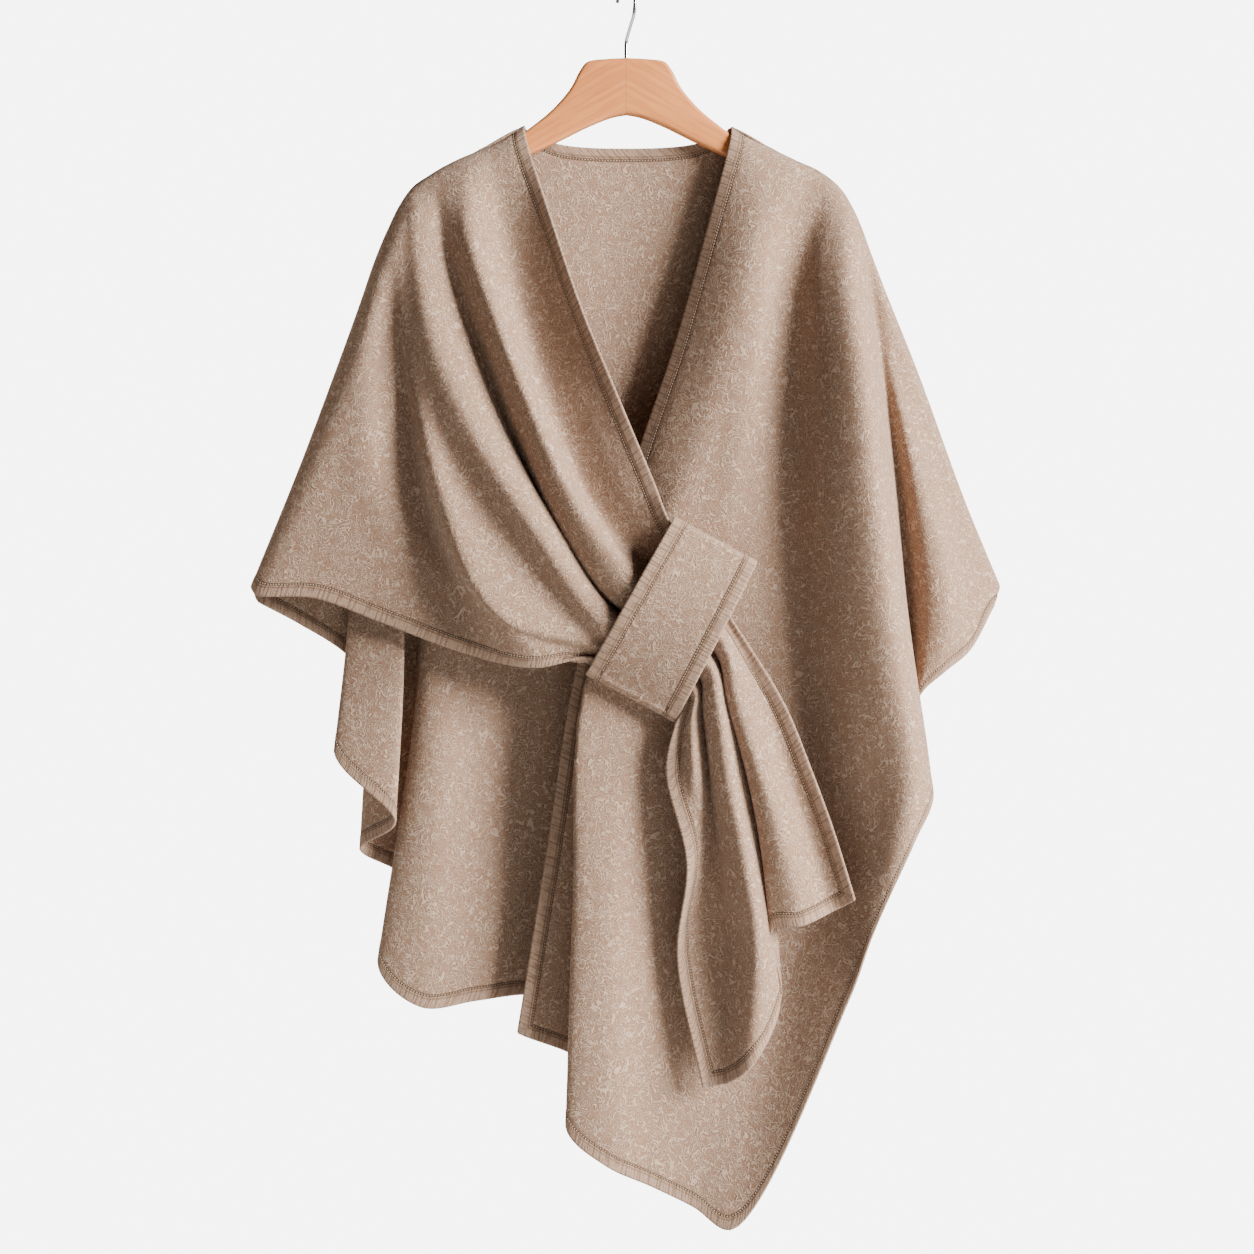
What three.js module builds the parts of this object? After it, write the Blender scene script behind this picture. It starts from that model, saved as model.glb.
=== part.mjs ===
// A felted wool shawl cape on a wooden clothes hanger. Its left front is drawn through a band on the
// right front and falls from it as a tail. Millimetres, +Z up, the front of the cape towards -Y.
// The origin is the inside top of the hook, where a rail carries it.
import * as THREE from "three";

// Driving dimensions
const CLOTH = 2.2; // thickness of the felted cloth
const SEAM_GAP = 0.3; // clearance between pieces that meet
const BAND_CENTRE = { across: 46, drop: 636 };
const BAND_TILT = 0.494; // radians that the band's long axis leans from upright
const BAND_LENGTH = 177; // along its long axis, between the turned ends
const BAND_WIDTH = { upper: 89, lower: 97 };
const BAND_FRONT = 86; // forward of the hanger's middle, to the middle of the cloth at the band's centre
const BAND_LEAN = 0.14; // how fast the band's front falls back there, for each millimetre along it
const BAND_BOW = 0.0026; // how much faster it falls back with each further millimetre
const BAND_BACK = 42.5;
const BAND_END_RADIUS = 6;
const HANGER_THICKNESS = 12;
const HANGER_BEVEL = 4;
const CROWN_TOP = 75.5; // drop from the origin to the top of the hanger's crown
const HOOK_WIRE = 3.5;
const HOOK_INNER_RADIUS = 20;
const HOOK_TURN = 0.425; // radians that the hook is turned from square to the hanger
const HOOK_SWEEP = 0.93; // half turns of the hook's bow over the rail

// How near to the hanger's middle plane a column of cloth starts where it starts on the shoulder fold
const SHOULDER_FOLD_REACH = 1;

// Mesh density
const COLUMNS_PER_FOLD = 2;
const WRAP_COLUMNS = 30;
const BAND_STEPS = { end: 6, span: 8, width: 4 };
const HOOK_STEPS = { bow: 12, length: 44, round: 4 };
const BEVEL_STEPS = 2;

const FINISHES = {
  cloth: { color: 0xb29b8a, roughness: 0.95 },
  wood: { color: 0xe0a078, roughness: 0.5 },
  steel: { color: 0xc4c4c0, roughness: 0.3, metalness: 1 },
};

// A fold table has one row for each fold line or edge, from the shoulder line to the hem. A point is
// [across, forward, drop]: to the viewer's right of the hook, towards the viewer and down from the
// origin. Its columns are the stations that are named above the table, and the number with each name
// is how many rows of mesh lie between that station and the next one.

// The left front from the shoulder line to the mouth of the band. The last entry of a row is its
// place in the mouth: [along the band's long axis from its centre, forward].
const WRAP_STATIONS = {
  shoulder: 3, overShoulder: 3, collarbone: 4, chest: 4, ribs: 5, gather: 4, mouth: 4,
};
const WRAP_FOLDS = {
  neckEdge: [[-102, 0, 144], [-101, 9, 156], [-78, 25, 229], [-45, 38, 328], [-9, 50, 417],
    [28, 62, 507], [-81, 70]],
  besideNeck: [[-117, 0, 154], [-115, 10, 167], [-93, 14, 240], [-64, 20, 340], [-33, 36, 428],
    [4, 54, 516], [-60, 60]],
  upperCrease: [[-138, 0, 165], [-136, 10, 179], [-119, 8, 251], [-93, 9, 350], [-62, 26, 452],
    [-24, 44, 537], [-38, 54]],
  firstRidge: [[-165, 0, 176], [-161, 13, 191], [-154, 30, 258], [-129, 44, 337], [-96, 56, 424],
    [-46, 71, 529], [-14, 79]],
  firstSide: [[-183, 0, 185], [-180, 12, 203], [-166, 22, 268], [-141, 31, 343], [-108, 40, 437],
    [-62, 56, 547], [12, 70]],
  deepValley: [[-193, 0, 191], [-190, 11, 211], [-177, 10, 278], [-151, 10, 358], [-116, 17, 452],
    [-66, 32, 554], [19, 52]],
  secondSide: [[-202, 0, 197], [-198, 12, 219], [-184, 20, 288], [-159, 27, 362], [-124, 38, 446],
    [-71, 56, 542], [25, 70]],
  secondRidge: [[-216, 0, 209], [-210, 13, 224], [-204, 27, 290], [-187, 42, 365],
    [-150, 57, 450], [-92, 73, 543], [39, 73]],
  softValley: [[-227, 0, 225], [-221, 13, 240], [-215, 23, 308], [-202, 32, 388], [-171, 44, 474],
    [-102, 58, 572], [52, 62]],
  thirdRidge: [[-237, 0, 246], [-230, 14, 258], [-224, 19, 322], [-211, 31, 402], [-184, 54, 513],
    [-128, 72, 628], [59, 60]],
  sideValley: [[-248, 0, 273], [-241, 14, 285], [-232, 12, 348], [-217, 13, 428], [-197, 22, 530],
    [-121, 66, 640], [66, 53]],
  wingRidge: [[-271, 0, 339], [-263, 15, 350], [-258, 23, 405], [-244, 27, 500], [-180, 27, 600],
    [-112, 62, 655], [73, 51]],
  wing: [[-318, 0, 465], [-309, 15, 476], [-288, 22, 515], [-244, 26, 580], [-169, 31, 640],
    [-102, 57, 669], [77, 51]],
  sideHem: [[-374, 0, 603], [-368, 9, 611], [-309, 18, 614], [-243, 24, 638], [-161, 34, 668],
    [-92, 53, 683], [70, 57]],
};

// The tail below the band. A row's share is its place across the whole width of the cloth, and its
// first point is the place where it leaves the band.
const TAIL_STATIONS = { exit: 4, belowBand: 3, upperTail: 3, middleTail: 3, lowerTail: 3, hem: 0 };
const TAIL_FOLDS = {
  rightEdge: { share: 0, points: [[-27, 64], [153, 60, 718], [181, 62, 786], [200, 65, 838],
    [212, 67, 876], [222, 68, 909]] },
  edgeValley: { share: 0.08, points: [[-20, 61], [139, 56, 721], [161, 55, 790], [182, 55, 844],
    [195, 57, 885], [205, 58, 919]] },
  rightCrest: { share: 0.18, points: [[-6, 76], [109, 75, 718], [131, 77, 788], [154, 76, 861],
    [165, 75, 908], [171, 74, 933]] },
  rightTurn: { share: 0.27, points: [[5, 69], [99, 68, 715], [119, 68, 788], [132, 67, 851],
    [139, 66, 900], [143, 65, 938]] },
  underTurn: { share: 0.34, points: [[9, 54], [105, 52, 727], [122, 51, 798], [136, 51, 876],
    [148, 53, 959], [151, 55, 1012]] },
  middleCrest: { share: 0.46, points: [[21, 76], [90, 77, 723], [100, 78, 793], [116, 77, 872],
    [128, 78, 959], [122, 72, 1070]] },
  middleTurn: { share: 0.57, points: [[33, 68], [77, 66, 720], [86, 65, 793], [98, 61, 870],
    [108, 56, 956], [100, 58, 1088]] },
  deepCrease: { share: 0.64, points: [[38, 54], [75, 50, 727], [83, 47, 803], [87, 40, 861],
    [94, 40, 939], [91, 52, 1091]] },
  smallCrest: { share: 0.76, points: [[50, 67], [64, 68, 737], [67, 68, 788], [75, 50, 858],
    [79, 38, 929], [83, 50, 1093]] },
  shadedValley: { share: 0.88, points: [[60, 58], [55, 55, 742], [55, 60, 793], [67, 60, 866],
    [64, 40, 939], [78, 50, 1093]] },
  leftEdge: { share: 1, points: [[70, 56], [49, 60, 739], [40, 58, 784], [60, 64, 873],
    [51, 47, 968], [76, 51, 1094]] },
};

// The right front, from its opening edge to the tip of its wing. Its last points run along the whole
// hem, round the pointed corner.
const RIGHT_STATIONS = {
  shoulder: 3, overShoulder: 3, collarbone: 4, chest: 4, ribs: 6, hip: 5, thigh: 5, hem: 0,
};
const RIGHT_FOLDS = {
  openingEdge: [[106, 0, 146], [105, 9, 158], [85, 10.5, 236], [50, 11, 362], [10, 13, 480],
    [-48, 22, 686], [-78, 16, 870], [-107, 14, 1047]],
  hiddenTurn: [[120, 0, 154], [120, 11, 167], [102, 21, 243], [70, 26, 372], [33, 28, 492],
    [-14, 27, 690], [-32, 18, 880], [-40, 14, 1080]],
  lowerFoldEdge: [[134, 0, 161], [134, 12, 175], [118, 29, 250], [91, 38, 380], [58, 39, 500],
    [-40, 38, 700], [-51, 43, 915], [-58, 44, 1137]],
  lowerRidge: [[148, 0, 168], [148, 12, 182], [130, 32, 257], [108, 42, 386], [82, 40, 508],
    [4, 38.5, 708], [-16, 48, 925], [-20, 50, 1171]],
  chestRidge: [[161, 0, 174], [161, 12, 189], [142, 29, 262], [124, 41, 391], [105, 40, 514],
    [66, 27, 722], [36, 27, 940], [24, 40, 1193]],
  underTail: [[171, 0, 179], [172, 11, 194], [148, 24, 267], [135, 35, 395], [124, 35, 519],
    [116, 22, 742], [98, 22, 965], [66, 37, 1214]],
  toCorner: [[181, 0, 184], [183, 9.5, 199], [159, 17, 271], [148, 26, 397], [144, 28, 525],
    [150, 22, 756], [142, 20, 988], [104, 48, 1234]],
  sideValley: [[191, 0, 190], [195, 10, 205], [175, 16, 277], [169, 25, 396], [168, 27, 525],
    [184, 26, 748], [204, 28, 880], [217, 60, 1009]],
  besideRidge: [[204, 0, 197], [209, 12, 213], [195, 34, 285], [197, 60, 397], [200, 67, 525],
    [221, 62, 738], [240, 58, 845], [240, 68, 944]],
  sideRidge: [[217, 0, 210], [221, 13, 226], [219, 46, 293], [230, 77, 400], [241, 87, 522],
    [262, 86, 690], [278, 82, 785], [280, 70, 853]],
  ridgeSide: [[229, 0, 232], [231, 9, 244], [236, 29, 300], [247, 46, 402], [259, 54, 512],
    [277, 58, 655], [293, 59, 760], [300, 53, 808]],
  behindRidge: [[236, 0, 249], [237, 7, 258], [243, 11, 314], [256, 20, 406], [270, 20, 508],
    [281, 17, 640], [284, 17, 715], [283, 18, 752]],
  wingInner: [[258, 0, 307], [259, 9, 317], [262, 17, 368], [274, 31, 442], [288, 41, 532],
    [298, 43, 620], [296, 34, 680], [291, 27, 711]],
  wingMiddle: [[290, 0, 387], [290, 10, 398], [292, 21, 446], [300, 33, 502], [309, 43, 562],
    [316, 45, 625], [316, 38, 665], [314, 30, 688]],
  wingOuter: [[338, 0, 518], [337, 8, 527], [337, 14, 550], [338, 20, 580], [339, 25, 610],
    [340, 27, 635], [341, 24, 655], [341, 19, 666]],
  wingTip: [[373, 0, 603], [372, 4, 606], [371, 6, 608], [370, 7, 611], [369, 7, 614],
    [368, 7, 617], [367, 7, 620], [366, 6, 623]],
};

// The back, from the left wing tip to the right one. Its last points are the whole hem.
const BACK_STATIONS = { shoulder: 2, overShoulder: 3, shoulderBlade: 4, waist: 5, hip: 6, hem: 0 };
const BACK_FOLDS = {
  leftTip: [[-374, 0, 603], [-373, -3, 606], [-372, -5, 609], [-371, -6, 612], [-370, -6, 615],
    [-369, -6, 618]],
  leftWingOuter: [[-326, 0, 485], [-325, -7, 494], [-325, -12, 520], [-326, -15, 560],
    [-327, -15, 600], [-328, -13, 640]],
  leftWing: [[-287, 0, 381], [-285, -8, 392], [-284, -14, 440], [-283, -18, 520],
    [-282, -20, 600], [-281, -18, 671]],
  behindTube: [[-266, 0, 323], [-264, -8, 334], [-262, -20, 390], [-258, -28, 500],
    [-255, -28, 610], [-252, -26, 712]],
  tubeLeft: [[-252, 0, 282], [-249, -8, 293], [-258, -16, 370], [-268, -16, 500], [-279, -2, 670],
    [-291, 2, 768]],
  tubeRight: [[-245, 0, 264], [-242, -8, 275], [-236, -9, 360], [-226, -7, 500], [-222, 9, 680],
    [-230, 10, 837]],
  secondLayer: [[-239, 0, 250], [-236, -9, 262], [-240, -18, 350], [-252, -24, 500],
    [-259, -26, 700], [-268, -24, 868]],
  behindPanel: [[-233, 0, 238], [-230, -10, 250], [-226, -22, 340], [-218, -32, 500],
    [-214, -36, 720], [-222, -34, 900]],
  panelEdge: [[-227, 0, 225], [-223, -10, 238], [-212, -14, 330], [-200, -14, 500],
    [-207, -6, 700], [-248, -10, 985]],
  panelRidge: [[-212, 0, 204], [-208, -10, 218], [-190, -11, 320], [-176, -8, 500],
    [-184, 4, 740], [-205, 0, 1023]],
  panelFace: [[-192, 0, 191], [-189, -10, 205], [-168, -13, 310], [-150, -14, 500],
    [-150, -8, 750], [-150, -10, 1018]],
  leftBlade: [[-160, 0, 175], [-158, -11, 189], [-138, -17, 300], [-112, -22, 500],
    [-105, -24, 760], [-100, -24, 1014]],
  neckLeft: [[-104, 0, 145], [-103, -11, 158], [-93, -16, 290], [-74, -20, 500], [-66, -20, 760],
    [-60, -20, 1020]],
  behindArmLeft: [[-99, -10.5, 147], [-97, -12, 160], [-84, -16, 292], [-60, -20, 500],
    [-52, -21, 760], [-46, -22, 1020]],
  neckCurveLeft: [[-67, -12, 159], [-66, -13, 172], [-52, -18, 300], [-28, -24, 500],
    [-18, -28, 760], [-8, -30, 1016]],
  centre: [[0, -14, 163], [0, -15, 177], [0, -20, 300], [8, -22, 500], [18, -20, 760],
    [30, -18, 1010]],
  neckCurveRight: [[68, -12, 159], [67, -13, 172], [52, -18, 300], [46, -26, 500], [54, -30, 760],
    [66, -32, 1016]],
  behindArmRight: [[101, -10.5, 147], [99, -12, 160], [82, -16, 292], [76, -23, 500],
    [84, -22, 760], [96, -20, 1013]],
  neckRight: [[106, 0, 145], [105, -11, 158], [93, -16, 290], [88, -22, 500], [98, -20, 760],
    [110, -18, 1012]],
  rightBlade: [[160, 0, 174], [158, -11, 188], [136, -17, 300], [122, -24, 500], [130, -30, 760],
    [140, -34, 1014]],
  rightRidge: [[193, 0, 189], [190, -10, 204], [166, -13, 310], [154, -16, 500], [165, -16, 760],
    [172, -14, 1010]],
  rightValley: [[212, 0, 204], [208, -10, 218], [190, -12, 320], [184, -18, 500], [196, -26, 740],
    [204, -30, 1000]],
  outerRidge: [[222, 0, 218], [219, -10, 232], [208, -14, 330], [210, -12, 500], [222, -10, 720],
    [214, -10, 960]],
  outerValley: [[232, 0, 238], [229, -9, 250], [222, -20, 340], [228, -28, 490], [238, -34, 690],
    [232, -34, 900]],
  sideRidge: [[244, 0, 270], [242, -8, 282], [238, -14, 360], [248, -12, 480], [262, -10, 650],
    [262, -10, 840]],
  sideValley: [[262, 0, 318], [260, -8, 330], [256, -18, 390], [262, -26, 480], [268, -30, 600],
    [262, -28, 755]],
  rightWing: [[290, 0, 387], [288, -8, 398], [286, -14, 440], [290, -18, 500], [294, -20, 580],
    [296, -18, 680]],
  rightWingOuter: [[338, 0, 518], [337, -7, 527], [336, -11, 550], [336, -13, 580],
    [337, -13, 620], [338, -11, 655]],
  rightTip: [[373, 0, 603], [372, -3, 606], [371, -5, 608], [370, -6, 611], [369, -6, 614],
    [368, -6, 617]],
};

// Half of the hanger's outline: [across, drop] from the crown to the arm's end and back along its
// lower edge.
const HANGER_TOP = [[0, CROWN_TOP], [20, 76.5], [39, 79.5], [46, 88], [55, 105], [66, 119], [78.5, 131.5],
  [91, 141.5], [101, 149], [112, 156.3], [131, 167.2], [169, 184.5], [192, 197.8], [204, 207]];
const HANGER_END = [[210, 213], [210, 223], [202, 228]];
const HANGER_LOWER = [[180, 214], [140, 193], [100, 174], [68, 159], [37.7, 144], [15, 135], [0, 132]];

// The hook's stem from the crown to its bow: [reach from its axis, drop].
const HOOK_STEM = [[0, CROWN_TOP - SEAM_GAP], [0, 66], [1, 58], [10, 46], [19, 35]];

function place([across, forward, drop]) {
  return new THREE.Vector3(across, -forward, -drop);
}

// A place in the band: along its long axis, across its width and forward.
function bandPlace(along, through, forward) {
  const across = BAND_CENTRE.across - Math.sin(BAND_TILT) * along + Math.cos(BAND_TILT) * through;
  const drop = BAND_CENTRE.drop + Math.cos(BAND_TILT) * along + Math.sin(BAND_TILT) * through;
  return place([across, forward, drop]);
}

function evenShares(count) {
  return Array.from({ length: count + 1 }, (_, step) => step / count);
}

// The curves across all rows of a fold table, one at each station.
function sections(rows) {
  return rows[0].map((_, station) => new THREE.CatmullRomCurve3(rows.map((row) => row[station])));
}

// A curve down one column of the cloth. Where it starts on the shoulder fold, it leaves the fold level.
function columnCurve(points) {
  const [first, second] = points;
  const folded = Math.abs(first.y) < SHOULDER_FOLD_REACH;
  const before = folded
    ? new THREE.Vector3(second.x, 2 * first.y - second.y, second.z)
    : first.clone().multiplyScalar(2).sub(second);
  const curve = new THREE.CatmullRomCurve3([before, ...points]);
  return (station) => curve.getPoint((station + 1) / points.length);
}

// Rows of points over a sheet. across(share) lists a column's points at the stations.
function sheetGrid(across, columns, stations) {
  const steps = Object.values(stations);
  const levels = steps.flatMap((count, k) => Array.from({ length: count }, (_, j) => k + j / count));
  levels.push(steps.length - 1);
  const grid = levels.map(() => []);
  evenShares(columns).forEach((share) => {
    const curve = columnCurve(across(share));
    levels.forEach((level, row) => grid[row].push(curve(level)));
  });
  return grid;
}

function gridNormal(grid, row, column, closed) {
  const rows = grid.length;
  const up = closed ? grid[(row + rows - 1) % rows] : grid[Math.max(row - 1, 0)];
  const down = closed ? grid[(row + 1) % rows] : grid[Math.min(row + 1, rows - 1)];
  const last = grid[row].length - 1;
  const along = down[column].clone().sub(up[column]);
  const side = grid[row][Math.min(column + 1, last)].clone().sub(grid[row][Math.max(column - 1, 0)]);
  return along.cross(side).normalize();
}

// One closed wall of cloth round the grid's points. A closed grid joins its last row to its first.
function wallGeometry(grid, { closed = false, keepIn = (point) => point } = {}) {
  const rows = grid.length;
  const columns = grid[0].length;
  const layerSize = rows * columns;
  const positions = new Float32Array(layerSize * 6);
  grid.forEach((line, row) => line.forEach((point, column) => {
    const normal = gridNormal(grid, row, column, closed);
    [CLOTH / 2, -CLOTH / 2].forEach((offset, layer) => {
      const moved = keepIn(point.clone().addScaledVector(normal, offset));
      moved.toArray(positions, 3 * (layer * layerSize + row * columns + column));
    });
  }));
  const index = [];
  const quad = (a, b, c, d) => index.push(a, b, c, a, c, d);
  const at = (layer, row, column) => layer * layerSize + (row % rows) * columns + column;
  const lastRow = closed ? rows : rows - 1;
  const end = columns - 1;
  for (let row = 0; row < lastRow; row += 1) {
    for (let column = 0; column < end; column += 1) {
      quad(at(0, row, column), at(0, row + 1, column), at(0, row + 1, column + 1), at(0, row, column + 1));
      quad(at(1, row, column), at(1, row, column + 1), at(1, row + 1, column + 1), at(1, row + 1, column));
    }
    quad(at(0, row, 0), at(1, row, 0), at(1, row + 1, 0), at(0, row + 1, 0));
    quad(at(0, row, end), at(0, row + 1, end), at(1, row + 1, end), at(1, row, end));
  }
  if (!closed) {
    for (let column = 0; column < end; column += 1) {
      quad(at(0, 0, column), at(0, 0, column + 1), at(1, 0, column + 1), at(1, 0, column));
      const after = column + 1;
      quad(at(0, lastRow, column), at(1, lastRow, column), at(1, lastRow, after), at(0, lastRow, after));
    }
  }
  const geometry = new THREE.BufferGeometry();
  geometry.setAttribute("position", new THREE.BufferAttribute(positions, 3));
  geometry.setIndex(signedVolume(positions, index) < 0 ? index.reverse() : index);
  return geometry;
}

function signedVolume(positions, index) {
  const corner = (i) => new THREE.Vector3().fromArray(positions, 3 * i);
  let volume = 0;
  for (let i = 0; i < index.length; i += 3) {
    volume += corner(index[i]).dot(corner(index[i + 1]).cross(corner(index[i + 2]))) / 6;
  }
  return volume;
}

const inFront = (point) => point.setY(Math.min(point.y, -SEAM_GAP / 2));
const behind = (point) => point.setY(Math.max(point.y, SEAM_GAP / 2));

function panelGeometry(table, stations, keepIn) {
  const rows = Object.values(table).map((row) => row.map(place));
  const curves = sections(rows);
  const across = (share) => curves.map((curve) => curve.getPoint(share));
  return wallGeometry(sheetGrid(across, (rows.length - 1) * COLUMNS_PER_FOLD, stations), { keepIn });
}

// Where a share of the tail's width lies in the tail's fold table, from 0 to 1.
function tailShare(share) {
  const shares = Object.values(TAIL_FOLDS).map((row) => row.share);
  const next = Math.max(1, shares.findIndex((value) => value >= share));
  const part = (share - shares[next - 1]) / (shares[next] - shares[next - 1]);
  return (next - 1 + part) / (shares.length - 1);
}

function wrapFrontGeometry() {
  const inMouth = ([along, forward]) => bandPlace(along, -BAND_WIDTH.lower / 2, forward);
  const atExit = ([along, forward]) => bandPlace(along, BAND_WIDTH.lower / 2, forward);
  const drape = sections(Object.values(WRAP_FOLDS).map(
    (row) => [...row.slice(0, -1).map(place), inMouth(row.at(-1))]));
  const tail = sections(Object.values(TAIL_FOLDS).map(
    ({ points: [exit, ...below] }) => [atExit(exit), ...below.map(place)]));
  const across = (share) => [
    ...drape.map((curve) => curve.getPoint(share)),
    ...tail.map((curve) => curve.getPoint(tailShare(share))),
  ];
  const grid = sheetGrid(across, WRAP_COLUMNS, { ...WRAP_STATIONS, ...TAIL_STATIONS });
  return wallGeometry(grid, { keepIn: inFront });
}

// The band is one flattened ring of cloth round the gathered front. Its front is bowed.
function loopBandGeometry() {
  const halfLength = BAND_LENGTH / 2 - CLOTH / 2;
  const straight = halfLength - BAND_END_RADIUS;
  const front = (along) => BAND_FRONT - BAND_LEAN * along - BAND_BOW * along ** 2;
  const end = (sign) => {
    const middle = (front(sign * straight) + BAND_BACK) / 2;
    const halfDepth = middle - BAND_BACK;
    return evenShares(BAND_STEPS.end).map((share) => [
      sign * (straight + BAND_END_RADIUS * Math.sin(Math.PI * share)),
      middle + sign * halfDepth * Math.cos(Math.PI * share),
    ]);
  };
  const span = evenShares(BAND_STEPS.span).slice(1, -1).map((share) => straight * (2 * share - 1));
  const ring = [
    ...end(1),
    ...span.toReversed().map((along) => [along, BAND_BACK]),
    ...end(-1),
    ...span.map((along) => [along, front(along)]),
  ];
  const widthAt = (along) => THREE.MathUtils.mapLinear(
    along, -halfLength, halfLength, BAND_WIDTH.upper, BAND_WIDTH.lower);
  const grid = ring.map(([along, forward]) => evenShares(BAND_STEPS.width).map(
    (share) => bandPlace(along, (share - 0.5) * widthAt(along), forward)));
  return wallGeometry(grid, { closed: true });
}

function hangerGeometry() {
  const half = [...HANGER_TOP, ...HANGER_END, ...HANGER_LOWER];
  const mirrored = half.slice(1, -1).reverse().map(([across, drop]) => [-across, drop]);
  const outline = [...half, ...mirrored].map(([across, drop]) => new THREE.Vector2(across, -drop));
  const geometry = new THREE.ExtrudeGeometry(new THREE.Shape(outline), {
    depth: HANGER_THICKNESS - 2 * HANGER_BEVEL,
    bevelThickness: HANGER_BEVEL,
    bevelSize: HANGER_BEVEL,
    bevelOffset: -HANGER_BEVEL,
    bevelSegments: BEVEL_STEPS,
  });
  geometry.translate(0, 0, HANGER_BEVEL - HANGER_THICKNESS / 2);
  geometry.rotateX(Math.PI / 2);
  return geometry;
}

// The hook's wire: up from the crown, out along its stem and over the rail.
function hookGeometry() {
  const radius = HOOK_INNER_RADIUS + HOOK_WIRE / 2;
  const inPlane = ([reach, drop]) => place(
    [Math.sin(HOOK_TURN) * reach, Math.cos(HOOK_TURN) * reach, drop]);
  const bow = evenShares(HOOK_STEPS.bow).map((share) => {
    const angle = Math.PI * HOOK_SWEEP * share;
    return [radius * Math.cos(angle), HOOK_INNER_RADIUS - radius * Math.sin(angle)];
  });
  return new THREE.ExtrudeGeometry(new THREE.Shape().absarc(0, 0, HOOK_WIRE / 2, 0, 2 * Math.PI), {
    steps: HOOK_STEPS.length,
    curveSegments: HOOK_STEPS.round,
    bevelEnabled: false,
    extrudePath: new THREE.CatmullRomCurve3([...HOOK_STEM, ...bow].map(inPlane)),
  });
}

function piece(name, geometry, finish) {
  const mesh = new THREE.Mesh(geometry, new THREE.MeshStandardMaterial(finish));
  mesh.name = name;
  return mesh;
}

const cape = new THREE.Group();
cape.add(
  piece("back_panel", panelGeometry(BACK_FOLDS, BACK_STATIONS, behind), FINISHES.cloth),
  piece("wrap_front", wrapFrontGeometry(), FINISHES.cloth),
  piece("right_front", panelGeometry(RIGHT_FOLDS, RIGHT_STATIONS, inFront), FINISHES.cloth),
  piece("loop_band", loopBandGeometry(), FINISHES.cloth),
  piece("hanger_wood", hangerGeometry(), FINISHES.wood),
  piece("hanger_hook", hookGeometry(), FINISHES.steel),
);

export default cape;
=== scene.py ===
# The looks of a felted wool shawl cape on a wooden clothes hanger, made round its CAD frame.
# Metres, +Z up, the front of the cape towards -Y, the origin at the inside top of the hook.
import math

import bmesh
import bpy
import numpy as np
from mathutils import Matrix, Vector


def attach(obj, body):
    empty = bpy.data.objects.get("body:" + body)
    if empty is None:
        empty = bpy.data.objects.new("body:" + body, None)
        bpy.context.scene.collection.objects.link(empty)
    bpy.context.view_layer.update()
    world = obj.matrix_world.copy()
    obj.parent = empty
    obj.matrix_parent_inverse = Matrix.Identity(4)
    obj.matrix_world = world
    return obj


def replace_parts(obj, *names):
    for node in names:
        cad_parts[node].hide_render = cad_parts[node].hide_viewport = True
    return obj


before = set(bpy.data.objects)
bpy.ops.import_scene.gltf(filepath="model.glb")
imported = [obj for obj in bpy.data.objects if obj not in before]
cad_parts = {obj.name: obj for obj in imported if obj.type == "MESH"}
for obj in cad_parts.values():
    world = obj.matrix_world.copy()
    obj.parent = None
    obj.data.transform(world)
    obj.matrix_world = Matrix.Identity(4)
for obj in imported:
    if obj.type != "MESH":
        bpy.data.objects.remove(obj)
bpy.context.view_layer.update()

MM = 0.001
TINY = 1e-9  # keeps a division by a length of nothing from failing
FAR = 1e3  # millimetres, longer than any way to an edge that matters
SAME_PLACE = 2e-6  # metres between corners that are merged
WIDEST_GAP = 12  # sides of a gap that is closed

# Sizes of the object, in millimetres like those in the tables
CLOTH = 2.2  # thickness of the felted cloth
SHOULDER_FOLD_REACH = 1.0  # how near to the hanger's middle plane the cloth starts on the shoulder fold
BAND_CENTRE = (46, 636)  # across and drop
BAND_TILT = 0.494  # radians that the band's long axis leans from upright
BAND_LENGTH = 177
BAND_WIDTH_UPPER = 89
BAND_WIDTH_LOWER = 97
BAND_FRONT = 86  # forward, at its centre
BAND_LEAN = 0.14  # how fast the front falls back along the band there
BAND_BOW = 0.0026  # and how much faster with each millimetre
BAND_BACK = 42.5
BAND_END_RADIUS = 6
HANGER_THICKNESS = 12
HANGER_BEVEL = 4
HOOK_WIRE = 3.5
HOOK_INNER_RADIUS = 20
HOOK_TURN = 0.425  # radians that the hook is turned from square to the hanger
HOOK_SWEEP = 0.93  # half turns of the bow over the rail
CROWN_TOP = 75.5  # drop to the top of the hanger's crown

# Hems and stitches, in millimetres
HEM_WIDTH = 12.0  # from an edge of the cloth to its stitch line
SECOND_SEAM = 8.6  # from an edge of the cloth to the fainter line of painted shade beside the stitches
HEM_RISE = 0.4  # how much thicker the turned hem is, on each face
HEM_FALL = (-0.6, 1.6)  # where the hem's rise starts and stops falling away, from the stitch line
GROOVE_DEPTH = 0.7  # that the stitches pull in, on each face
GROOVE_WIDTH = 1.0
STITCH_LENGTH = 1.9
STITCH_PITCH = 2.9
STITCH_SINK = 0.25  # how far the stitch line lies below the face of the open cloth
STITCH_CORNER = 0.5  # how much nearer another edge may be before the line stops
STITCH_PROFILE = ((0.0, 0.3), (0.45, 0.55), (0.0, 0.3))  # lift and radius at its start, middle and end
STITCH_RING = [(math.cos(turn), math.sin(turn)) for turn in np.radians([45, 135, 225, 315])]

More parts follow.
